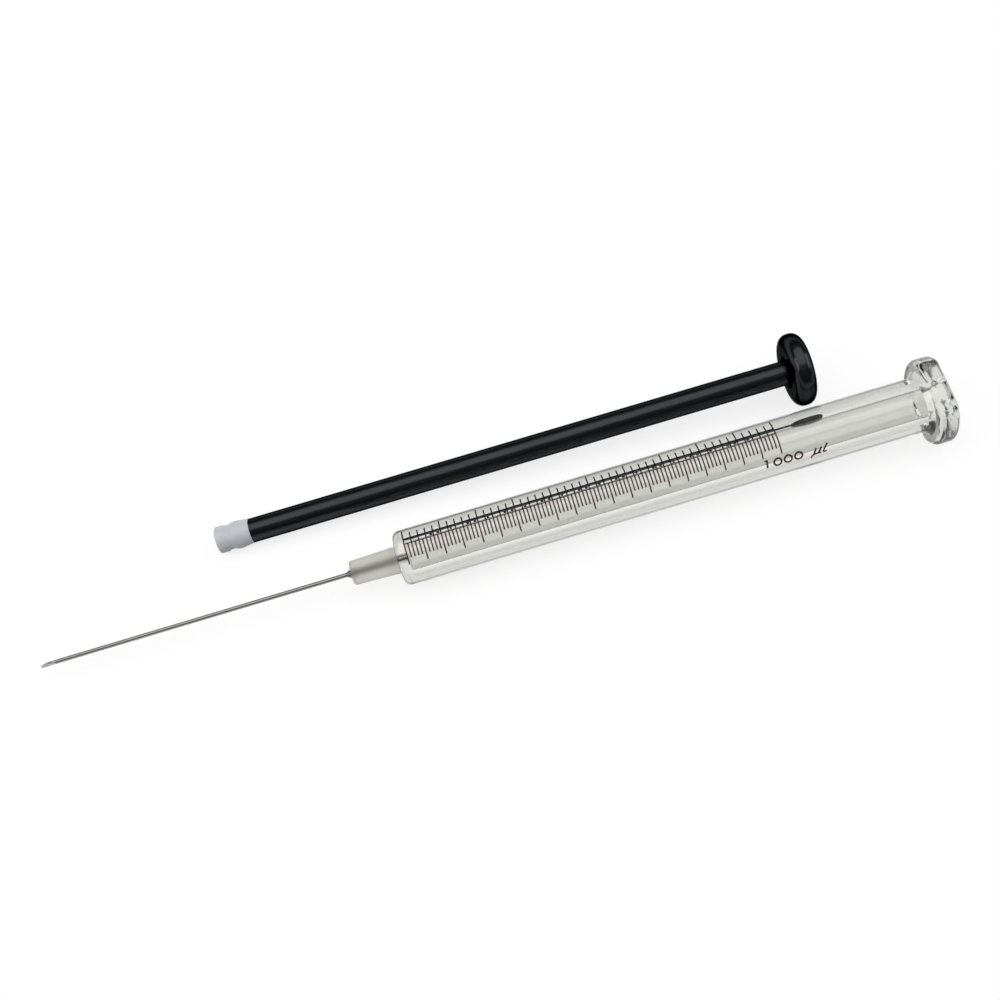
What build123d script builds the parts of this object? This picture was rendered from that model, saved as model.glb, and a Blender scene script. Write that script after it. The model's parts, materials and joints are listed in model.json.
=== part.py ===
from build123d import *
import math
import os

# Gas-tight glass microsyringe for 1000 microlitres, with a cemented needle. It lies on a flat surface, with
# its plunger drawn out and laid beside it. Millimetres. Z is up, X runs from the needle's point towards the
# finger flange, and the origin is on the surface, under the middle of the whole.

# ---------------------------------------------------------------- driving dimensions: barrel
bore_d = 4.608              # holds 1 ml in 60 mm
barrel_d = 8.9
barrel_length = 86.1        # front face to the front of the flange
front_wall = 1.8            # glass between the front face and the floor of the bore
shoulder_round = 1.1
bore_mouth_chamfer = 0.3
luer_tip_d = 3.93
luer_length = 7.7
luer_taper = 0.06           # growth of the diameter over the length
luer_edge_chamfer = 0.2

flange_d = 14.0
flange_across_flats = 11.4
flange_thickness = 3.3
flange_corner_round = 1.2
flange_edge_round = 0.9
flange_root_chamfer = 0.8

# ---------------------------------------------------------------- driving dimensions: needle
needle_d = 0.72             # 22 gauge
needle_lumen_d = 0.41
needle_exposed = 51.4       # end of the luer cone to the point
needle_bevel_angle = 14.5
needle_point_flat = 0.03    # height of wall left at the very point
cement_film = 0.16          # all round the needle, inside the luer cone
cement_cone_length = 0.9
cement_cone_d = 1.7

# ---------------------------------------------------------------- driving dimensions: plunger
rod_d = 4.05
rod_length = 90.45          # back of the tip to the front of the button
rod_edge_chamfer = 0.1
tip_length = 5.7
tip_clearance = 0.009       # round the sealing ring, in the bore
tip_lip_d = 4.46
tip_lip_length = 1.2
tip_waist_d = 4.1
tip_waist_end = 2.3         # all tip distances are from its front
tip_ring_start = 3.0
tip_ring_end = 3.9
tip_edge_chamfer = 0.1      # of the front edge
stud_d = 2.0                # end of the rod inside the tip
stud_length = 3.8
spigot_d = 3.0              # end of the rod inside the button
spigot_length = 2.0
button_d = 12.0
button_thickness = 3.4
button_rim_round = 1.55
button_recess_d = 5.4       # sunk ring round the rod
button_recess_depth = 0.5

# ---------------------------------------------------------------- driving dimensions: printed scale
scale_length = 60.0
scale_divisions = 100
divisions_per_long_mark = 5
divisions_per_window_mark = 2
divisions_per_long_window_mark = 10
ink_thickness = 0.02
mark_width = 0.22
base_line_width = 0.16
window_line_width = 0.24
base_angle = 5.0            # angles round the barrel, from its top towards the plunger
window_angle = 17.0
short_angle = -25.0
long_angle = -37.7
window_short_angle = 33.0
window_long_angle = 43.0

# ---------------------------------------------------------------- driving dimensions: how it lies
plunger_ahead = 27.95       # front of the plunger, in front of the barrel's front face
plunger_gap_front = 13.0    # between the two axes, at the front of the plunger
plunger_gap_rear = 11.6     # and at its button

# ---------------------------------------------------------------- derived sizes
bore_r = bore_d / 2
barrel_r = barrel_d / 2
rod_r = rod_d / 2
needle_r = needle_d / 2
cement_r = needle_r + cement_film
luer_tip_r = luer_tip_d / 2
luer_base_r = luer_tip_r + luer_taper * luer_length / 2
reach_front = luer_length + needle_exposed
reach_rear = barrel_length + flange_thickness
button_front = tip_length + rod_length
plunger_length = button_front + button_thickness
division = scale_length / scale_divisions
scale_start = front_wall - mark_width / 2      # the zero mark is level with the floor of the bore


def lie_down(front, rear):
    """Slope and front height of an axis that lies on two round edges.

    Each edge is its distance along the axis, its radius out to the surface, and its rounding.
    """
    front_x, front_r, front_round = front
    rear_x, rear_r, rear_round = rear
    run = rear_x - front_x
    rise = (rear_r - rear_round) - (front_r - front_round)
    slope = math.atan2(rise, run) + math.asin((rear_round - front_round) / math.hypot(run, rise))
    height = (front_r - front_round) * math.cos(slope) + front_round - front_x * math.sin(slope)
    return slope, height


barrel_slope, barrel_height = lie_down(
    (shoulder_round, barrel_r, shoulder_round),
    (barrel_length + flange_edge_round, flange_across_flats / 2, flange_edge_round),
)
plunger_slope, plunger_height = lie_down(
    (tip_edge_chamfer, tip_lip_d / 2, 0),
    (button_front + button_rim_round, button_d / 2, button_rim_round),
)
plunger_turn = math.atan2(plunger_gap_rear - plunger_gap_front, plunger_length)

# the barrel's front face and the plunger's front, measured from under the middle of the whole
middle_x = (reach_rear - reach_front) / 2 * math.cos(barrel_slope)
middle_y = (plunger_gap_rear + button_d / 2 - flange_d / 2) / 2
barrel_front = Vector(-middle_x, -middle_y, barrel_height)
plunger_front = Vector(-middle_x - plunger_ahead, plunger_gap_front - middle_y, plunger_height)

barrel_way = Vector(math.cos(barrel_slope), 0, math.sin(barrel_slope))
plunger_left = Vector(-math.sin(plunger_turn), math.cos(plunger_turn), 0)
plunger_way = Vector(
    math.cos(plunger_slope) * math.cos(plunger_turn),
    math.cos(plunger_slope) * math.sin(plunger_turn),
    math.sin(plunger_slope),
)

# side planes hold turned profiles (along the axis, out from it), end planes hold sections across it
barrel_side = Plane(origin=barrel_front, x_dir=barrel_way, z_dir=(0, -1, 0))
barrel_end = Plane(origin=barrel_front, x_dir=(0, 1, 0), z_dir=barrel_way)
barrel_axis = Axis(barrel_front, barrel_way)
plunger_side = Plane(origin=plunger_front, x_dir=plunger_way, z_dir=-plunger_left)
plunger_end = Plane(origin=plunger_front, x_dir=plunger_left, z_dir=plunger_way)
plunger_axis = Axis(plunger_front, plunger_way)


def rings(part, end_plane, distance, radius):
    """Round edges of that radius about the axis, at that distance along it."""
    return part.edges().filter_by(GeomType.CIRCLE).filter_by(
        lambda edge: math.isclose(edge.radius, radius, abs_tol=1e-4)
        and math.isclose(end_plane.to_local_coords(edge.arc_center).Z, distance, abs_tol=1e-4)
    )


# ---------------------------------------------------------------- barrel: one piece of glass
with BuildPart() as barrel:
    # finger flange, round with two flats, so that the barrel doesn't roll
    with BuildSketch(barrel_end.offset(barrel_length)) as flange_outline:
        Circle(flange_d / 2)
        Rectangle(flange_d, flange_across_flats, mode=Mode.INTERSECT)
        fillet(flange_outline.vertices(), flange_corner_round)
    extrude(amount=flange_thickness)
    fillet(barrel.edges().filter_by(barrel_axis, reverse=True), flange_edge_round)
    # tube and luer cone
    with BuildSketch(barrel_side):
        with BuildLine():
            Polyline(
                (-luer_length, 0),
                (-luer_length, luer_tip_r),
                (0, luer_base_r),
                (0, barrel_r),
                (reach_rear - flange_edge_round, barrel_r),
                (reach_rear - flange_edge_round, 0),
                close=True,
            )
        make_face()
    revolve(axis=barrel_axis)
    chamfer(rings(barrel, barrel_end, barrel_length, barrel_r), flange_root_chamfer)
    fillet(rings(barrel, barrel_end, 0, barrel_r), shoulder_round)
    chamfer(rings(barrel, barrel_end, -luer_length, luer_tip_r), luer_edge_chamfer)
    # bore, and the hole that the needle is cemented in
    with BuildSketch(barrel_end.offset(front_wall)):
        Circle(bore_r)
    extrude(amount=reach_rear - front_wall, mode=Mode.SUBTRACT)
    chamfer(rings(barrel, barrel_end, reach_rear, bore_r), bore_mouth_chamfer)
    with BuildSketch(barrel_end.offset(-luer_length)):
        Circle(cement_r)
    extrude(amount=luer_length + front_wall, mode=Mode.SUBTRACT)

# ---------------------------------------------------------------- needle, and the cement that holds it
with BuildPart() as needle:
    with BuildSketch(barrel_end.offset(-reach_front)):
        Circle(needle_r)
        Circle(needle_lumen_d / 2, mode=Mode.SUBTRACT)
    extrude(amount=reach_front + front_wall)
    # the bevel faces up: the cut goes from just over the lower wall up through the upper one, and beyond
    bevel_low = needle_point_flat - needle_r
    bevel_high = needle_d
    bevel_run = (bevel_high - bevel_low) / math.tan(math.radians(needle_bevel_angle))
    with BuildSketch(barrel_side):
        with BuildLine():
            Polyline(
                (-reach_front, bevel_low),
                (-reach_front + bevel_run, bevel_high),
                (-reach_front, bevel_high),
                close=True,
            )
        make_face()
    extrude(amount=needle_d, both=True, mode=Mode.SUBTRACT)

with BuildPart() as needle_cement:
    with BuildSketch(barrel_side):
        with BuildLine():
            Polyline(
                (front_wall, needle_r),
                (front_wall, cement_r),
                (-luer_length, cement_r),
                (-luer_length, cement_cone_d / 2),
                (-luer_length - cement_cone_length, needle_r),
                close=True,
            )
        make_face()
    revolve(axis=barrel_axis)

# ---------------------------------------------------------------- plunger: rod, sealing tip and button
with BuildPart() as plunger_rod:
    with BuildSketch(plunger_side):
        with BuildLine():
            Polyline(
                (tip_length - stud_length, 0),
                (tip_length - stud_length, stud_d / 2),
                (tip_length, stud_d / 2),
                (tip_length, rod_r),
                (button_front, rod_r),
                (button_front, spigot_d / 2),
                (button_front + spigot_length, spigot_d / 2),
                (button_front + spigot_length, 0),
                close=True,
            )
        make_face()
    revolve(axis=plunger_axis)
    chamfer(rings(plunger_rod, plunger_end, button_front, rod_r), rod_edge_chamfer)

with BuildPart() as plunger_tip:
    tip_ring_r = bore_r - tip_clearance
    with BuildSketch(plunger_side):
        with BuildLine():
            Polyline(
                (0, 0),
                (0, tip_lip_d / 2),
                (tip_lip_length, tip_lip_d / 2),
                (tip_lip_length + (tip_waist_end - tip_lip_length) / 2, tip_waist_d / 2),
                (tip_waist_end, tip_waist_d / 2),
                (tip_ring_start, tip_ring_r),
                (tip_ring_end, tip_ring_r),
                (tip_length, rod_r),
                (tip_length, stud_d / 2),
                (tip_length - stud_length, stud_d / 2),
                (tip_length - stud_length, 0),
                close=True,
            )
        make_face()
    revolve(axis=plunger_axis)
    chamfer(rings(plunger_tip, plunger_end, 0, tip_lip_d / 2), tip_edge_chamfer)

with BuildPart() as plunger_button:
    with BuildSketch(plunger_end.offset(button_front)):
        Circle(button_d / 2)
    extrude(amount=button_thickness)
    fillet(plunger_button.edges().filter_by(GeomType.CIRCLE), button_rim_round)
    with BuildSketch(plunger_end.offset(button_front)):
        Circle(button_recess_d / 2)
        Circle(rod_r, mode=Mode.SUBTRACT)
    extrude(amount=button_recess_depth, mode=Mode.SUBTRACT)
    with BuildSketch(plunger_end.offset(button_front)):
        Circle(spigot_d / 2)
    extrude(amount=spigot_length, mode=Mode.SUBTRACT)


# ---------------------------------------------------------------- scale: enamel fired on the barrel
def ink_section(low_angle, high_angle):
    """Section of an enamel mark that runs round the barrel between two angles."""
    with BuildSketch() as section:
        with BuildLine():
            inner = CenterArc((0, 0), barrel_r, 90 - high_angle, high_angle - low_angle)
            outer = CenterArc((0, 0), barrel_r + ink_thickness, 90 - high_angle, high_angle - low_angle)
            Line(inner @ 0, outer @ 0)
            Line(inner @ 1, outer @ 1)
        make_face()
    return section.sketch


def mark_planes(every, coarser=None):
    """Planes of the marks at each so many divisions, without those of a coarser step."""
    steps = range(0, scale_divisions + 1, every)
    if coarser:
        steps = [step for step in steps if step % coarser]
    return [barrel_end.offset(scale_start + step * division) for step in steps]


def line_span(angle, width):
    """Low and high angle of a line that runs along the barrel."""
    half = math.degrees(width / 2 / barrel_r)
    return angle - half, angle + half


base_low, base_high = line_span(base_angle, base_line_width)
window_low, window_high = line_span(window_angle, window_line_width)

with BuildPart() as scale_base_line:
    with BuildSketch(barrel_end.offset(scale_start)):
        add(ink_section(base_low, base_high))
    extrude(amount=scale_length + mark_width)

with BuildPart() as scale_window_line:
    with BuildSketch(barrel_end.offset(scale_start)):
        add(ink_section(window_low, window_high))
    extrude(amount=scale_length + mark_width)

with BuildPart() as scale_short_marks:
    with BuildSketch(*mark_planes(1, divisions_per_long_mark)):
        add(ink_section(short_angle, base_low))
    extrude(amount=mark_width)

with BuildPart() as scale_long_marks:
    with BuildSketch(*mark_planes(divisions_per_long_mark)):
        add(ink_section(long_angle, base_low))
    extrude(amount=mark_width)

# the window marks cross the window line, so each is made of a part under it and a part over it
with BuildPart() as scale_window_marks:
    with BuildSketch(*mark_planes(divisions_per_window_mark)):
        add(ink_section(base_high, window_low))
    extrude(amount=mark_width)
    with BuildSketch(*mark_planes(divisions_per_window_mark, divisions_per_long_window_mark)):
        add(ink_section(window_high, window_short_angle))
    extrude(amount=mark_width)
    with BuildSketch(*mark_planes(divisions_per_long_window_mark)):
        add(ink_section(window_high, window_long_angle))
    extrude(amount=mark_width)

# ---------------------------------------------------------------- one STEP file for each piece
pieces = {
    "barrel": barrel,
    "needle": needle,
    "needle_cement": needle_cement,
    "plunger_rod": plunger_rod,
    "plunger_tip": plunger_tip,
    "plunger_button": plunger_button,
    "scale_base_line": scale_base_line,
    "scale_window_line": scale_window_line,
    "scale_short_marks": scale_short_marks,
    "scale_long_marks": scale_long_marks,
    "scale_window_marks": scale_window_marks,
}
os.makedirs("parts", exist_ok=True)
for name, piece in pieces.items():
    piece.part.label = name
    export_step(piece.part, f"parts/{name}.step")
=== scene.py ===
import json
import math

import bmesh
import bpy
from bpy.props import FloatProperty, FloatVectorProperty, PointerProperty
from mathutils import Matrix, Vector


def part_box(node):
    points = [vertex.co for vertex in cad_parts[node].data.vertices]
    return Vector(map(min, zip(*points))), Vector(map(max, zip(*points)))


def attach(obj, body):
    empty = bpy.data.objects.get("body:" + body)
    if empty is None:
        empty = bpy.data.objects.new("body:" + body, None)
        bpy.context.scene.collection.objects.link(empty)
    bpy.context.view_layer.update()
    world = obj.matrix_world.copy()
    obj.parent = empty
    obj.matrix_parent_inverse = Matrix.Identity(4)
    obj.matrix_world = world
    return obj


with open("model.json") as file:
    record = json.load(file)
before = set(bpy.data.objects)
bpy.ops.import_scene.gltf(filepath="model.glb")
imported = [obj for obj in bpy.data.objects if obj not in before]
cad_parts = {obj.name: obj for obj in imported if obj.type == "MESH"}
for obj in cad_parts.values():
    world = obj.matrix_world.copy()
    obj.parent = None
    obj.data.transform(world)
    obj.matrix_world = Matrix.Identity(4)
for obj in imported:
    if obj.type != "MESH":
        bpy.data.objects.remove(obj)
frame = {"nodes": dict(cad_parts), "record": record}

bl_info = {
    "name": "Glass microsyringe",
    "version": (1, 0, 0),
    "blender": (4, 5, 0),
    "location": "3D View > Sidebar > Microsyringe",
    "description": "Finishes, printed figures and a plain studio for a gas-tight glass microsyringe",
    "category": "Object",
}

MM = 0.001

# ---------------------------------------------------------------- places read from the frame
MOUNTS = {mount["name"]: mount for mount in frame["record"]["mounts"]}
BARREL_WAY = Vector(MOUNTS["bore"]["axis"]).normalized()
BORE_LENGTH = MOUNTS["bore"]["dims"]["length_mm"] * MM
BORE_FLOOR = Vector(MOUNTS["bore"]["pos_m"]) - BARREL_WAY * BORE_LENGTH / 2   # level with the zero mark
PLUNGER_WAY = Vector(MOUNTS["button_face"]["axis"]).normalized()
ACROSS = Vector((0.0, 1.0, 0.0))                                             # towards the plunger
BARREL_UP = BARREL_WAY.cross(ACROSS).normalized()
BARREL_R = 4.45 * MM
FRONT_WALL = 1.8 * MM       # glass between the front face and the floor of the bore


class SyringeGlass(bpy.types.PropertyGroup):
    """Glass of the barrel and its ground cone."""

    tint: FloatVectorProperty(
        name="Tint", description="Colour that the glass gives to light", subtype="COLOR",
        min=0, max=1, default=(0.845, 0.85, 0.82))
    # painted shade: a darker glass colour towards the barrel's sides
    slant_shade: FloatVectorProperty(
        name="Slant tint", description="Colour of the glass towards the barrel's sides", subtype="COLOR",
        min=0, max=1, default=(0.58, 0.585, 0.55))
    flange_tint: FloatVectorProperty(
        name="Flange tint", description="Colour of the thicker glass of the flange", subtype="COLOR",
        min=0, max=1, default=(0.74, 0.75, 0.70))
    # painted shade: a near-black glass colour at the barrel's very edges
    edge_shade: FloatVectorProperty(
        name="Edge tint", description="Colour of the glass at its very edges", subtype="COLOR",
        min=0, max=1, default=(0.06, 0.06, 0.055))
    ground_tint: FloatVectorProperty(
        name="Ground tint", description="Colour of the ground cone", subtype="COLOR",
        min=0, max=1, default=(0.74, 0.74, 0.69))
    ior: FloatProperty(
        name="IOR", description="Refractive index of borosilicate glass", min=1, max=2, default=1.474)
    ground_roughness: FloatProperty(
        name="Ground roughness", description="Roughness of the ground cone", subtype="FACTOR",
        min=0, max=1, default=0.75)


class SyringeFinishes(bpy.types.PropertyGroup):
    """Colours of everything that isn't glass."""

    steel: FloatVectorProperty(
        name="Steel", description="Needle tube", subtype="COLOR", min=0, max=1, default=(0.35, 0.345, 0.34))
    # painted highlight: a paler steel colour over the needle's bevel
    bevel_highlight: FloatVectorProperty(
        name="Ground steel", description="Freshly ground steel of the needle's bevel", subtype="COLOR",
        min=0, max=1, default=(0.50, 0.50, 0.49))
    black: FloatVectorProperty(
        name="Black", description="Anodised rod and button", subtype="COLOR",
        min=0, max=1, default=(0.028, 0.029, 0.032))
    seal: FloatVectorProperty(
        name="Seal", description="White sealing tip", subtype="COLOR",
        min=0, max=1, default=(0.62, 0.655, 0.69))
    brown_ink: FloatVectorProperty(
        name="Brown enamel", description="Lower marks of the scale", subtype="COLOR",
        min=0, max=1, default=(0.045, 0.010, 0.007))
    black_ink: FloatVectorProperty(
        name="Black enamel", description="Upper marks of the scale", subtype="COLOR",
        min=0, max=1, default=(0.005, 0.004, 0.004))
    cement: FloatVectorProperty(
        name="Cement", description="Cement round the needle", subtype="COLOR",
        min=0, max=1, default=(0.84, 0.83, 0.76))


class SyringeFigures(bpy.types.PropertyGroup):
    """Printed figures."""

    volume_height: FloatProperty(
        name="Volume height", description="Height of the figures of the volume", subtype="DISTANCE",
        unit="LENGTH", default=1.44 * MM)
    volume_pen: FloatProperty(
        name="Volume pen", description="Width of their strokes", subtype="DISTANCE", unit="LENGTH",
        default=0.31 * MM)
    volume_angle: FloatProperty(
        name="Volume angle", description="Place of their feet round the barrel, from its top",
        subtype="ANGLE", default=math.radians(-61))
    figure_height: FloatProperty(
        name="Figure height", description="Height of the small figures in the scale's windows",
        subtype="DISTANCE", unit="LENGTH", default=0.44 * MM)
    figure_width: FloatProperty(
        name="Figure width", description="Width of the small figures", subtype="DISTANCE",
        unit="LENGTH", default=0.48 * MM)
    figure_angle: FloatProperty(
        name="Figure angle", description="Middle of the small figures, from the barrel's top",
        subtype="ANGLE", default=math.radians(10.3))


class SyringeStudio(bpy.types.PropertyGroup):
    """Camera, light and floor."""

    elevation: FloatProperty(
        name="Elevation", description="Camera's height over the surface", subtype="ANGLE",
        default=math.radians(67))
    roll: FloatProperty(
        name="Roll", description="Turn of the picture", subtype="ANGLE", default=math.radians(16.616))
    distance: FloatProperty(
        name="Distance", description="Camera to the barrel's axis", subtype="DISTANCE", unit="LENGTH",
        default=0.1948)
    along: FloatProperty(
        name="Along", description="Point looked at, behind the zero mark", subtype="DISTANCE",
        unit="LENGTH", default=16.2 * MM)
    above: FloatProperty(
        name="Above", description="Point looked at, over the barrel's axis in the picture",
        subtype="DISTANCE", unit="LENGTH", default=4.434 * MM)
    lens: FloatProperty(name="Lens", description="Focal length in millimetres", default=44.39)
    floor: FloatVectorProperty(
        name="Floor", description="Colour of the floor", subtype="COLOR", min=0, max=1,
        default=(0.26, 0.26, 0.26))
    glow: FloatProperty(
        name="Floor glow", description="White that the camera adds to the floor", default=0.79)


# ---------------------------------------------------------------- material helpers
def new_material(name):
    """A material with only a Principled BSDF and an output; gives it with its nodes, links and shader."""
    material = bpy.data.materials.new(name)
    material.use_nodes = True
    nodes = material.node_tree.nodes
    return material, nodes, material.node_tree.links, nodes["Principled BSDF"]


def put_on(material, *names):
    """Puts the material on the slots of CAD nodes."""
    for name in names:
        piece = frame["nodes"][name]
        if not piece.material_slots:
            piece.data.materials.append(material)
        for slot in piece.material_slots:
            slot.material = material


def put_in(links, value, inlet):
    """Links a socket to an inlet, or sets the inlet to a number or a colour."""
    if isinstance(value, bpy.types.NodeSocket):
        links.new(value, inlet)
    elif isinstance(value, float):
        inlet.default_value = value
    else:
        inlet.default_value = (*value, 1.0)


def number_math(nodes, links, operation, *values):
    """A calculation with sockets and numbers."""
    node = nodes.new("ShaderNodeMath")
    node.operation = operation
    for value, inlet in zip(values, node.inputs):
        put_in(links, value, inlet)
    return node.outputs[0]


def vector_math(nodes, links, operation, vector, other=None):
    """The node of a calculation with a vector socket and a fixed vector."""
    node = nodes.new("ShaderNodeVectorMath")
    node.operation = operation
    links.new(vector, node.inputs[0])
    if other is not None:
        node.inputs[1].default_value = other
    return node


def distance_along(nodes, links, way):
    """Distance of a point along that direction."""
    return vector_math(nodes, links, "DOT_PRODUCT", object_vector(nodes, links), way).outputs["Value"]


def share_between(nodes, links, value, start, end, interpolation="SMOOTHSTEP"):
    """A mask that is 0 up to the start and 1 from the end on."""
    node = nodes.new("ShaderNodeMapRange")
    node.interpolation_type = interpolation
    node.inputs["From Min"].default_value = start
    node.inputs["From Max"].default_value = end
    links.new(value, node.inputs["Value"])
    return node.outputs["Result"]


def colour_between(nodes, links, factor, low, high):
    """A colour mixed by a mask between two others, each a colour or a socket."""
    mix = nodes.new("ShaderNodeMix")
    mix.data_type = "RGBA"
    links.new(factor, mix.inputs["Factor"])
    put_in(links, low, mix.inputs["A"])
    put_in(links, high, mix.inputs["B"])
    return mix.outputs["Result"]


def colour_ramp(nodes, links, factor, stops):
    """A colour ramp through stops, each a place on the ramp and a colour; gives its node."""
    node = nodes.new("ShaderNodeValToRGB")
    elements = node.color_ramp.elements
    while len(elements) < len(stops):
        elements.new(0.5)
    for element, (place, colour) in zip(elements, stops):
        element.position = place
        element.color = (*colour, 1.0)
    links.new(factor, node.inputs["Fac"])
    return node


def shade(colour, factor):
    """The colour, darker or paler."""
    return tuple(min(1.0, factor * value) for value in colour)


def socket(group, name, in_out, kind, default=None):
    """Adds a socket to a node group."""
    item = group.interface.new_socket(name=name, in_out=in_out, socket_type=kind)
    if default is not None:
        item.default_value = default


def grain_group():
    """Node group: fine uneven grain, as a mask from 0 to 1 and as a varied roughness."""
    group = bpy.data.node_groups.get("fine_grain")
    if group:
        return group
    group = bpy.data.node_groups.new("fine_grain", "ShaderNodeTree")
    socket(group, "Vector", "INPUT", "NodeSocketVector")
    socket(group, "Scale", "INPUT", "NodeSocketFloat", 400.0)
    socket(group, "Roughness", "INPUT", "NodeSocketFloat", 0.3)
    socket(group, "Spread", "INPUT", "NodeSocketFloat", 0.1)
    socket(group, "Mask", "OUTPUT", "NodeSocketFloat")
    socket(group, "Varied roughness", "OUTPUT", "NodeSocketFloat")
    nodes, links = group.nodes, group.links
    inlet = nodes.new("NodeGroupInput").outputs
    outlet = nodes.new("NodeGroupOutput").inputs
    noise = nodes.new("ShaderNodeTexNoise")
    noise.inputs["Detail"].default_value = 6.0
    noise.inputs["Roughness"].default_value = 0.6
    links.new(inlet["Vector"], noise.inputs["Vector"])
    links.new(inlet["Scale"], noise.inputs["Scale"])
    centred = number_math(nodes, links, "SUBTRACT", noise.outputs["Fac"], 0.5)
    spread = number_math(nodes, links, "MULTIPLY_ADD", centred, inlet["Spread"], inlet["Roughness"])
    links.new(noise.outputs["Fac"], outlet["Mask"])
    links.new(spread, outlet["Varied roughness"])
    return group


def object_vector(nodes, links, stretch=None, way=None):
    """Object coordinates, stretched along a piece's own axis so that a noise draws lines along it."""
    place = nodes.new("ShaderNodeTexCoord").outputs["Object"]
    if way is None:
        return place
    turn = nodes.new("ShaderNodeMapping")
    turn.inputs["Rotation"].default_value = way.rotation_difference(Vector((1, 0, 0))).to_euler()
    squeeze = nodes.new("ShaderNodeMapping")
    squeeze.inputs["Scale"].default_value = (1 / stretch, 1.0, 1.0)
    links.new(place, turn.inputs["Vector"])
    links.new(turn.outputs["Vector"], squeeze.inputs["Vector"])
    return squeeze.outputs["Vector"]


def grain(nodes, links, vector, scale, roughness, spread):
    """The grain group in a material; gives its mask and its varied roughness."""
    node = nodes.new("ShaderNodeGroup")
    node.node_tree = grain_group()
    links.new(vector, node.inputs["Vector"])
    node.inputs["Scale"].default_value = scale
    node.inputs["Roughness"].default_value = roughness
    node.inputs["Spread"].default_value = spread
    return node.outputs["Mask"], node.outputs["Varied roughness"]


def grained(nodes, links, shader, vector, of_grain, low, high):
    """Grain in a shader's colour and roughness; gives the grain's mask."""
    mask, roughness = grain(nodes, links, vector, *of_grain)
    links.new(colour_between(nodes, links, mask, low, high), shader.inputs["Base Color"])
    links.new(roughness, shader.inputs["Roughness"])
    return mask


def bump(nodes, links, shader, height, distance):
    """Bump from a height into the shader's normal."""
    node = nodes.new("ShaderNodeBump")
    node.inputs["Strength"].default_value = 1.0
    node.inputs["Distance"].default_value = distance
    links.new(height, node.inputs["Height"])
    links.new(node.outputs["Normal"], shader.inputs["Normal"])


# Grains below are a scale, a roughness, and how far that roughness varies. Shades are what the grain's
# other colour is multiplied by.
# ---------------------------------------------------------------- barrel
GROUND_EDGE = 0.05 * MM     # half the width over which the ground finish ends
WORKED_FAR = 4.5 * MM       # from the flange's back, and from the front face
WORKED_NEAR = 2.5 * MM
WAVES_GRAIN = (450.0, 0.0, 0.0)
WAVES_HEIGHT = 0.06 * MM
EDGE_FROM = 0.58            # share of slant where the painted shade of the edges begins
EDGE_TO = 0.68
EDGE_END = 0.80             # beyond it the painted shade fades and the glass is pale again, so it stays clear seen from its ends
# painted shade: the glass's colour by slant, darker towards the sides and near-black at the edges
GLASS_SLANTS = (
    (0.14, "tint"),
    (0.26, "slant_shade"),
    (EDGE_FROM, "slant_shade"),
    (EDGE_TO, "edge_shade"),
    (EDGE_END, "slant_shade"),
)


class MICROSYRINGE_OT_glass(bpy.types.Operator):
    """Clear glass on the barrel, ground matt on its luer cone"""

    bl_idname = "microsyringe.glass"
    bl_label = "Glass barrel"

    def execute(self, context):
        settings = context.scene.syringe_glass
        material, nodes, links, shader = new_material("borosilicate_glass")
        along = distance_along(nodes, links, BARREL_WAY)
        face = BORE_FLOOR.dot(BARREL_WAY) - FRONT_WALL
        back = Vector(MOUNTS["flange_back"]["pos_m"]).dot(BARREL_WAY)
        cone = share_between(nodes, links, along, face + GROUND_EDGE, face - GROUND_EDGE)
        flange = share_between(nodes, links, along, back - WORKED_FAR, back - WORKED_NEAR)
        front = share_between(nodes, links, along, face + WORKED_FAR, face + WORKED_NEAR)
        # painted shade: the glass's colour darkens where it is seen at a slant, which draws the barrel's
        # sides and edges as dark lines
        facing = nodes.new("ShaderNodeLayerWeight").outputs["Facing"]
        tube = colour_ramp(nodes, links, facing,
                           [(place, getattr(settings, tint)) for place, tint in GLASS_SLANTS])
        # painted shade: the flange's glass also darkens to near-black at its edges
        edge = share_between(nodes, links, facing, EDGE_FROM, EDGE_TO)
        thick = colour_between(nodes, links, edge, settings.flange_tint, settings.edge_shade)
        clear = colour_between(nodes, links, flange, tube.outputs["Color"], thick)
        links.new(colour_between(nodes, links, cone, clear, settings.ground_tint),
                  shader.inputs["Base Color"])
        links.new(number_math(nodes, links, "MULTIPLY", cone, settings.ground_roughness),
                  shader.inputs["Roughness"])
        # glass that was worked hot is a little wavy
        worked = number_math(nodes, links, "MAXIMUM", flange, front)
        waves, _ = grain(nodes, links, object_vector(nodes, links), *WAVES_GRAIN)
        bump(nodes, links, shader, number_math(nodes, links, "MULTIPLY", worked, waves), WAVES_HEIGHT)
        shader.inputs["IOR"].default_value = settings.ior
        shader.inputs["Transmission Weight"].default_value = 1.0
        put_on(material, "barrel")
        return {"FINISHED"}


# ---------------------------------------------------------------- needle and its cement
BEVEL_LENGTH = 2.8 * MM     # of the needle's ground point
BEVEL_WHOLE = 0.9           # share of that length, from the point, over which the painted highlight is full
STEEL_GRAIN = (9000.0, 0.24, 0.12)
STEEL_STRETCH = 40.0
STEEL_SHADE = 0.72
CEMENT_GRAIN = (2500.0, 0.12, 0.1)
CEMENT_SHADE = 1.25
CEMENT_IOR = 1.53


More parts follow.
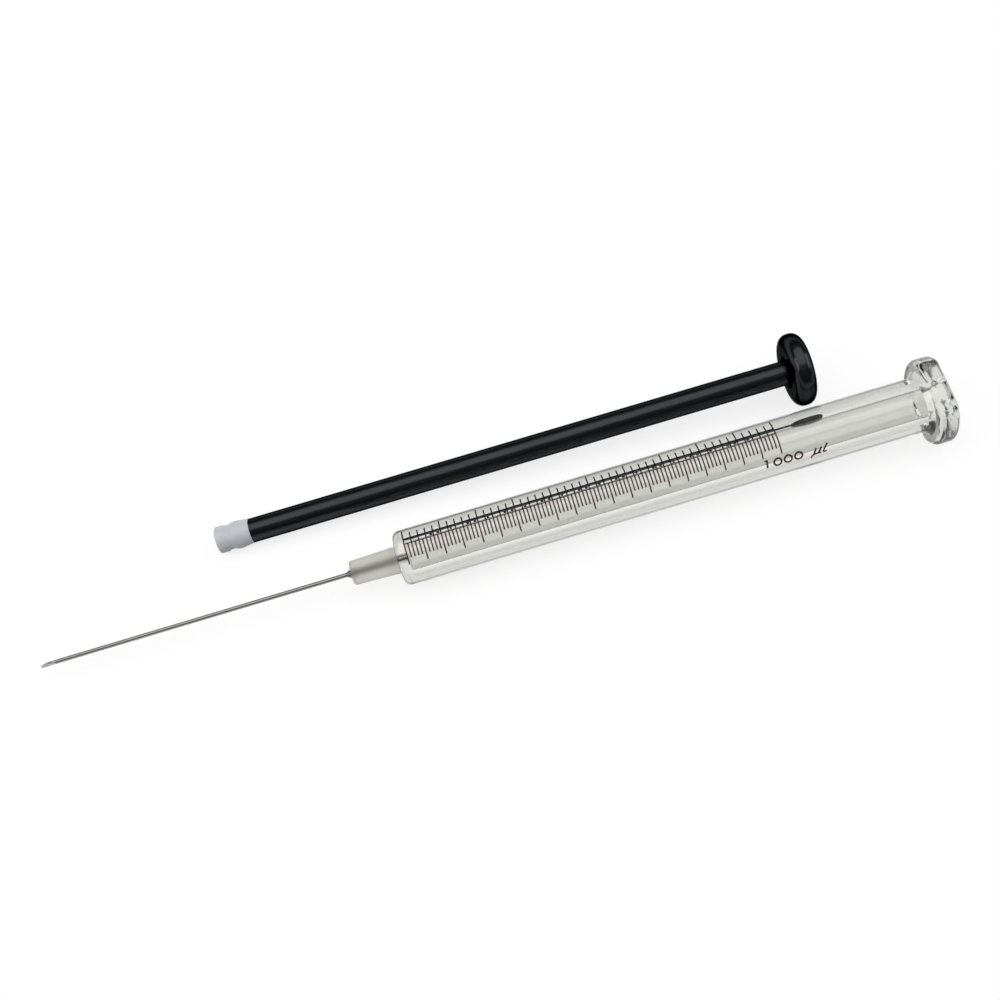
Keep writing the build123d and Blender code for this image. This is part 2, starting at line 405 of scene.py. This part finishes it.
class MICROSYRINGE_OT_needle(bpy.types.Operator):
    """Drawn steel on the needle, and clear cement round it"""

    bl_idname = "microsyringe.needle"
    bl_label = "Needle"

    def execute(self, context):
        settings = context.scene.syringe_finishes
        material, nodes, links, shader = new_material("needle_steel")
        lines = object_vector(nodes, links, STEEL_STRETCH, BARREL_WAY)
        drawn, roughness = grain(nodes, links, lines, *STEEL_GRAIN)
        shaft = colour_between(nodes, links, drawn, shade(settings.steel, STEEL_SHADE), settings.steel)
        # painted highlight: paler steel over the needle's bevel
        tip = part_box("needle")[0][0]
        bevel_highlight_mask = share_between(
            nodes, links, distance_along(nodes, links, BARREL_WAY),
            tip + BEVEL_LENGTH, tip + BEVEL_WHOLE * BEVEL_LENGTH, "LINEAR")
        links.new(colour_between(nodes, links, bevel_highlight_mask, shaft, settings.bevel_highlight),
                  shader.inputs["Base Color"])
        links.new(roughness, shader.inputs["Roughness"])
        shader.inputs["Metallic"].default_value = 1.0
        put_on(material, "needle")

        material, nodes, links, shader = new_material("cement")
        grained(nodes, links, shader, object_vector(nodes, links), CEMENT_GRAIN,
                settings.cement, shade(settings.cement, CEMENT_SHADE))
        shader.inputs["IOR"].default_value = CEMENT_IOR
        shader.inputs["Transmission Weight"].default_value = 1.0
        put_on(material, "needle_cement")
        return {"FINISHED"}


# ---------------------------------------------------------------- plunger
ROD_GRAIN = (5000.0, 0.2, 0.2)
ROD_STRETCH = 25.0
BUTTON_GRAIN = (4000.0, 0.2, 0.2)
ANODISED_SHADE = 1.5
ANODISED_RELIEF = 0.012 * MM
ANODISED_EDGE = (0.25, 0.25, 0.25)      # what black metal keeps of the light at a slant
SEAL_GRAIN = (900.0, 0.38, 0.12)
SEAL_SHADE = 0.92
SEAL_SCATTER = 0.12         # share of the light that goes into the seal
SEAL_DEPTH = 0.6 * MM       # and how deep


class MICROSYRINGE_OT_plunger(bpy.types.Operator):
    """Black anodised rod and button, and the white seal"""

    bl_idname = "microsyringe.plunger"
    bl_label = "Plunger"

    def execute(self, context):
        settings = context.scene.syringe_finishes
        self.anodised("black_anodised", settings.black, self.drawn_lines, ROD_GRAIN, "plunger_rod")
        self.anodised("black_anodised_turned", settings.black, self.lathe_lines, BUTTON_GRAIN,
                      "plunger_button")

        material, nodes, links, shader = new_material("ptfe")
        grained(nodes, links, shader, object_vector(nodes, links), SEAL_GRAIN,
                shade(settings.seal, SEAL_SHADE), settings.seal)
        shader.inputs["Subsurface Weight"].default_value = SEAL_SCATTER
        shader.inputs["Subsurface Radius"].default_value = (1.0, 1.0, 1.0)
        shader.inputs["Subsurface Scale"].default_value = SEAL_DEPTH
        put_on(material, "plunger_tip")
        return {"FINISHED"}

    def anodised(self, name, colour, lines, of_grain, piece):
        """Black anodised metal with the lines that its tool left."""
        material, nodes, links, shader = new_material(name)
        turned = grained(nodes, links, shader, lines(nodes, links), of_grain,
                         colour, shade(colour, ANODISED_SHADE))
        bump(nodes, links, shader, turned, ANODISED_RELIEF)
        shader.inputs["Metallic"].default_value = 1.0
        shader.inputs["Specular Tint"].default_value = (*ANODISED_EDGE, 1.0)
        put_on(material, piece)

    def drawn_lines(self, nodes, links):
        """A vector for lines along the rod."""
        return object_vector(nodes, links, ROD_STRETCH, PLUNGER_WAY)

    def lathe_lines(self, nodes, links):
        """A vector for rings round the plunger: distance along it, and distance from its axis."""
        centre = vector_math(nodes, links, "SUBTRACT", object_vector(nodes, links),
                             MOUNTS["button_face"]["pos_m"]).outputs["Vector"]
        along = vector_math(nodes, links, "DOT_PRODUCT", centre, PLUNGER_WAY).outputs["Value"]
        out = vector_math(nodes, links, "CROSS_PRODUCT", centre, PLUNGER_WAY).outputs["Vector"]
        radius = vector_math(nodes, links, "LENGTH", out).outputs["Value"]
        both = nodes.new("ShaderNodeCombineXYZ")
        links.new(along, both.inputs["X"])
        links.new(radius, both.inputs["Y"])
        return both.outputs["Vector"]


# ---------------------------------------------------------------- printed scale
ENAMEL_GRAIN = (1800.0, 0.35, 0.2)
ENAMEL_SHADE = 1.7
ENAMEL_SPECULAR = 0.2


def enamel(name, colour):
    """Fired enamel, a little uneven in colour and gloss."""
    material, nodes, links, shader = new_material(name)
    grained(nodes, links, shader, object_vector(nodes, links), ENAMEL_GRAIN,
            colour, shade(colour, ENAMEL_SHADE))
    shader.inputs["Specular IOR Level"].default_value = ENAMEL_SPECULAR
    return material


class MICROSYRINGE_OT_scale(bpy.types.Operator):
    """Fired enamel on the marks of the scale"""

    bl_idname = "microsyringe.scale"
    bl_label = "Scale marks"

    def execute(self, context):
        settings = context.scene.syringe_finishes
        put_on(enamel("brown_enamel", settings.brown_ink),
               "scale_base_line", "scale_short_marks", "scale_long_marks")
        put_on(enamel("black_enamel", settings.black_ink), "scale_window_line", "scale_window_marks")
        return {"FINISHED"}


# ---------------------------------------------------------------- printed figures
INK_THICKNESS = 0.02 * MM
HUNDRED = 6.0 * MM          # 100 microlitres of the scale
FIGURE_PLACES = (1.65 * MM, -0.45 * MM, -1.6 * MM)      # of a number's three figures, from its mark
FIGURE_WEIGHT = 0.10        # widening of the outline, as a share of the height
WIDEST = 1.9                # most that a narrow figure is widened
WRAP_STEP = math.radians(4)
WELD = 0.0005 * MM
# the volume's strokes: distance behind the zero mark, and height, for figures 1.44 mm high
DRAWN_HEIGHT = 1.44
ONE = ((57.07, 1.30), (57.42, 1.36), (57.46, 1.30), (57.40, 0.06))
ZEROS = (59.13, 60.81, 62.50)
ZERO_MIDDLE = 0.66
ZERO_R = 0.60
MU_STEM = ((65.38, 1.08), (64.90, 0.12), (64.36, -0.46))
MU_BOWL = ((64.93, 0.12), (65.18, 0.04), (65.60, 0.12), (66.20, 1.03))
SECOND_STEM = ((66.20, 1.03), (65.74, 0.16), (65.84, 0.04), (66.06, 0.06))
LITRE = ((67.18, 1.40), (66.42, 0.20), (66.52, 0.04), (66.94, 0.04))


def add_print(bm, curve):
    """Adds the mesh of a curve or text, removes the curve, and gives the new vertices."""
    holder = bpy.data.objects.new("print", curve)
    bpy.context.scene.collection.objects.link(holder)
    bpy.context.view_layer.update()
    mesh = bpy.data.meshes.new_from_object(holder.evaluated_get(bpy.context.evaluated_depsgraph_get()))
    bpy.data.objects.remove(holder)
    old = len(bm.verts)
    bm.from_mesh(mesh)
    bm.verts.ensure_lookup_table()
    bpy.data.meshes.remove(mesh)
    bpy.data.curves.remove(curve)
    return bm.verts[old:]


def pen_stroke(bm, points, width, closed=False, smooth=False):
    """Adds a flat stroke of that width through the points."""
    curve = bpy.data.curves.new("stroke", "CURVE")
    curve.dimensions = "3D"
    curve.resolution_u = 8
    curve.bevel_depth = width / 2
    curve.bevel_resolution = 2
    curve.use_fill_caps = not closed
    spline = curve.splines.new("BEZIER")
    spline.bezier_points.add(len(points) - 1)
    spline.use_cyclic_u = closed
    for knot, (x, y) in zip(spline.bezier_points, points):
        knot.co = (x, y, 0.0)
        knot.handle_left_type = knot.handle_right_type = "AUTO" if smooth else "VECTOR"
    bmesh.ops.scale(bm, vec=(1.0, 1.0, INK_THICKNESS / width), verts=add_print(bm, curve))


def figure(bm, text, height, width, middle):
    """Adds a figure that is read from the other side, with its middle at that distance along."""
    curve = bpy.data.curves.new("figure", "FONT")
    curve.body = text
    curve.size = height
    curve.extrude = INK_THICKNESS / 2
    curve.offset = FIGURE_WEIGHT * height
    curve.resolution_u = 3
    new = add_print(bm, curve)
    low = Vector([min(vert.co[axis] for vert in new) for axis in range(3)])
    high = Vector([max(vert.co[axis] for vert in new) for axis in range(3)])
    taller = height / (high.y - low.y)
    wider = min(width / (high.x - low.x), WIDEST * taller)
    place = Matrix.Translation((middle, 0.0, 0.0)) @ Matrix.Rotation(math.pi, 4, "Z")
    place = place @ Matrix.Diagonal((wider, taller, 1.0, 1.0)) @ Matrix.Translation(-(low + high) / 2)
    bmesh.ops.transform(bm, matrix=place, verts=new)


def wrap_on_barrel(bm, angle):
    """Bends a flat print round the barrel: X goes along it from the zero mark, Y up round it."""
    bmesh.ops.remove_doubles(bm, verts=bm.verts, dist=WELD)
    step = WRAP_STEP * BARREL_R
    low = min(vert.co.y for vert in bm.verts)
    high = max(vert.co.y for vert in bm.verts)
    for cut in range(1, math.ceil((high - low) / step)):
        bmesh.ops.bisect_plane(
            bm, geom=bm.verts[:] + bm.edges[:] + bm.faces[:], dist=1e-8,
            plane_co=(0, low + cut * step, 0), plane_no=(0, 1, 0))
    for vert in bm.verts:
        turn = angle + vert.co.y / BARREL_R
        radius = BARREL_R + INK_THICKNESS / 2 + vert.co.z
        around = BARREL_UP * math.cos(turn) + ACROSS * math.sin(turn)
        vert.co = BORE_FLOOR + BARREL_WAY * vert.co.x + around * radius
    bmesh.ops.recalc_face_normals(bm, faces=bm.faces)


def print_on_barrel(name, bm, marks):
    """Makes the print a piece that rides on the syringe, in the enamel of those marks."""
    mesh = bpy.data.meshes.new(name)
    bm.to_mesh(mesh)
    bm.free()
    mesh.materials.append(frame["nodes"][marks].material_slots[0].material)
    piece = bpy.data.objects.new(name, mesh)
    bpy.context.scene.collection.objects.link(piece)
    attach(piece, "syringe")


class MICROSYRINGE_OT_figures(bpy.types.Operator):
    """Figures of the scale and the volume at its end, as enamel on the glass"""

    bl_idname = "microsyringe.figures"
    bl_label = "Printed figures"

    def execute(self, context):
        settings = context.scene.syringe_figures
        bm = bmesh.new()
        for hundreds in range(1, 10):
            for text, place in zip(f"{hundreds}00", FIGURE_PLACES):
                figure(bm, text, settings.figure_height, settings.figure_width,
                       hundreds * HUNDRED + place)
        wrap_on_barrel(bm, settings.figure_angle)
        print_on_barrel("scale_figures", bm, "scale_window_marks")

        bm = bmesh.new()
        pen = settings.volume_pen
        size = settings.volume_height / DRAWN_HEIGHT
        for points in (ONE, MU_STEM, MU_BOWL, SECOND_STEM, LITRE):
            pen_stroke(bm, [(x * MM, y * size) for x, y in points], pen)
        for middle in ZEROS:
            ring = [(middle * MM + x * ZERO_R * size, (ZERO_MIDDLE + y * ZERO_R) * size)
                    for x, y in ((1, 0), (0, 1), (-1, 0), (0, -1))]
            pen_stroke(bm, ring, pen, closed=True, smooth=True)
        wrap_on_barrel(bm, settings.volume_angle)
        print_on_barrel("volume_figures", bm, "scale_long_marks")
        return {"FINISHED"}


# ---------------------------------------------------------------- studio
# name, place, size along its two sides, power
SOFT_BOXES = (
    ("key_light", (0.0, 0.14, 0.56), (0.8, 0.59), 1.9),
    ("left_light", (-0.7, 0.0, 0.5), (0.5, 0.5), 1.6),
    ("right_light", (0.7, 0.0, 0.5), (0.5, 0.5), 1.6),
)
# sine of the height over the horizon, and the colour there
WORLD_RAMP = (
    (0.0, (0.95, 0.95, 0.95)),
    (0.10, (0.90, 0.90, 0.90)),
    (0.30, (0.10, 0.10, 0.10)),
    (0.75, (0.20, 0.20, 0.20)),
    (1.0, (0.45, 0.45, 0.45)),
)
FLOOR_HALF = 3.0            # half the floor's side, in metres
FLOOR_ROUGHNESS = 0.9


class MICROSYRINGE_OT_studio(bpy.types.Operator):
    """Floor, soft light and camera"""

    bl_idname = "microsyringe.studio"
    bl_label = "Studio"

    def execute(self, context):
        settings = context.scene.syringe_studio
        scene = context.scene
        self.floor(scene, settings)
        self.lights(scene)
        self.world(scene)
        self.camera(scene, settings)
        scene.view_settings.view_transform = "Standard"
        return {"FINISHED"}

    def floor(self, scene, settings):
        """A plain floor that looks white to the camera and still takes soft shadows."""
        bm = bmesh.new()
        bmesh.ops.create_grid(bm, x_segments=1, y_segments=1, size=FLOOR_HALF)
        mesh = bpy.data.meshes.new("floor")
        bm.to_mesh(mesh)
        bm.free()
        floor = bpy.data.objects.new("floor", mesh)
        scene.collection.objects.link(floor)
        material, nodes, links, shader = new_material("floor")
        shader.inputs["Base Color"].default_value = (*settings.floor, 1.0)
        shader.inputs["Roughness"].default_value = FLOOR_ROUGHNESS
        shader.inputs["Specular IOR Level"].default_value = 0.0
        ray = nodes.new("ShaderNodeLightPath").outputs
        seen = number_math(nodes, links, "MAXIMUM", ray["Is Camera Ray"], ray["Is Glossy Ray"])
        seen = number_math(nodes, links, "MAXIMUM", seen, ray["Is Transmission Ray"])
        links.new(number_math(nodes, links, "MULTIPLY", seen, settings.glow),
                  shader.inputs["Emission Strength"])
        shader.inputs["Emission Color"].default_value = (1, 1, 1, 1)
        mesh.materials.append(material)

    def lights(self, scene):
        """Soft boxes that face the middle of the floor."""
        for name, place, size, power in SOFT_BOXES:
            lamp = bpy.data.lights.new(name, "AREA")
            lamp.shape = "RECTANGLE"
            lamp.size, lamp.size_y = size
            lamp.energy = power
            holder = bpy.data.objects.new(name, lamp)
            holder.location = place
            holder.rotation_euler = (-Vector(place)).to_track_quat("-Z", "Y").to_euler()
            scene.collection.objects.link(holder)

    def world(self, scene):
        """A room that is bright low down and darker higher up."""
        world = bpy.data.worlds.new("studio")
        world.use_nodes = True
        nodes, links = world.node_tree.nodes, world.node_tree.links
        split = nodes.new("ShaderNodeSeparateXYZ")
        links.new(nodes.new("ShaderNodeTexCoord").outputs["Generated"], split.inputs["Vector"])
        height = colour_ramp(nodes, links, split.outputs["Z"], WORLD_RAMP)
        height.color_ramp.interpolation = "EASE"
        links.new(height.outputs["Color"], nodes["Background"].inputs["Color"])
        nodes["Background"].inputs["Strength"].default_value = 1.0
        scene.world = world

    def camera(self, scene, settings):
        """The camera, placed by its height over the surface and its distance from the barrel."""
        rise, roll = settings.elevation, settings.roll
        towards = BARREL_UP * math.sin(rise) - ACROSS * math.cos(rise)
        upward = BARREL_UP * math.cos(rise) + ACROSS * math.sin(rise)
        target = BORE_FLOOR + BARREL_WAY * settings.along + upward * settings.above
        right = BARREL_WAY * math.cos(roll) - upward * math.sin(roll)
        top = BARREL_WAY * math.sin(roll) + upward * math.cos(roll)
        lens = bpy.data.cameras.new("camera")
        lens.sensor_width = 36.0
        lens.lens = settings.lens
        lens.clip_start = 0.01
        camera = bpy.data.objects.new("camera", lens)
        turn = Matrix((right, top, towards)).transposed().to_4x4()
        camera.matrix_world = Matrix.Translation(target + towards * settings.distance) @ turn
        scene.collection.objects.link(camera)
        scene.camera = camera


# ---------------------------------------------------------------- registration
class MICROSYRINGE_PT_panel(bpy.types.Panel):
    """The operators, in the 3D view's sidebar"""

    bl_label = "Microsyringe"
    bl_idname = "MICROSYRINGE_PT_panel"
    bl_space_type = "VIEW_3D"
    bl_region_type = "UI"
    bl_category = "Microsyringe"

    def draw(self, context):
        for operator in OPERATORS:
            self.layout.operator(operator.bl_idname)


GROUPS = {
    "syringe_glass": SyringeGlass,
    "syringe_finishes": SyringeFinishes,
    "syringe_figures": SyringeFigures,
    "syringe_studio": SyringeStudio,
}
OPERATORS = (
    MICROSYRINGE_OT_studio,
    MICROSYRINGE_OT_glass,
    MICROSYRINGE_OT_needle,
    MICROSYRINGE_OT_plunger,
    MICROSYRINGE_OT_scale,
    MICROSYRINGE_OT_figures,
)


def register():
    for group in GROUPS.values():
        bpy.utils.register_class(group)
    for operator in OPERATORS:
        bpy.utils.register_class(operator)
    bpy.utils.register_class(MICROSYRINGE_PT_panel)
    for name, group in GROUPS.items():
        setattr(bpy.types.Scene, name, PointerProperty(type=group))


def unregister():
    for name in GROUPS:
        delattr(bpy.types.Scene, name)
    bpy.utils.unregister_class(MICROSYRINGE_PT_panel)
    for operator in reversed(OPERATORS):
        bpy.utils.unregister_class(operator)
    for group in reversed(GROUPS.values()):
        bpy.utils.unregister_class(group)


def main():
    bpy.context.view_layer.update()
    register()
    for operator in OPERATORS:
        category, name = operator.bl_idname.split(".")
        getattr(getattr(bpy.ops, category), name)()


if __name__ == "__main__":
    main()
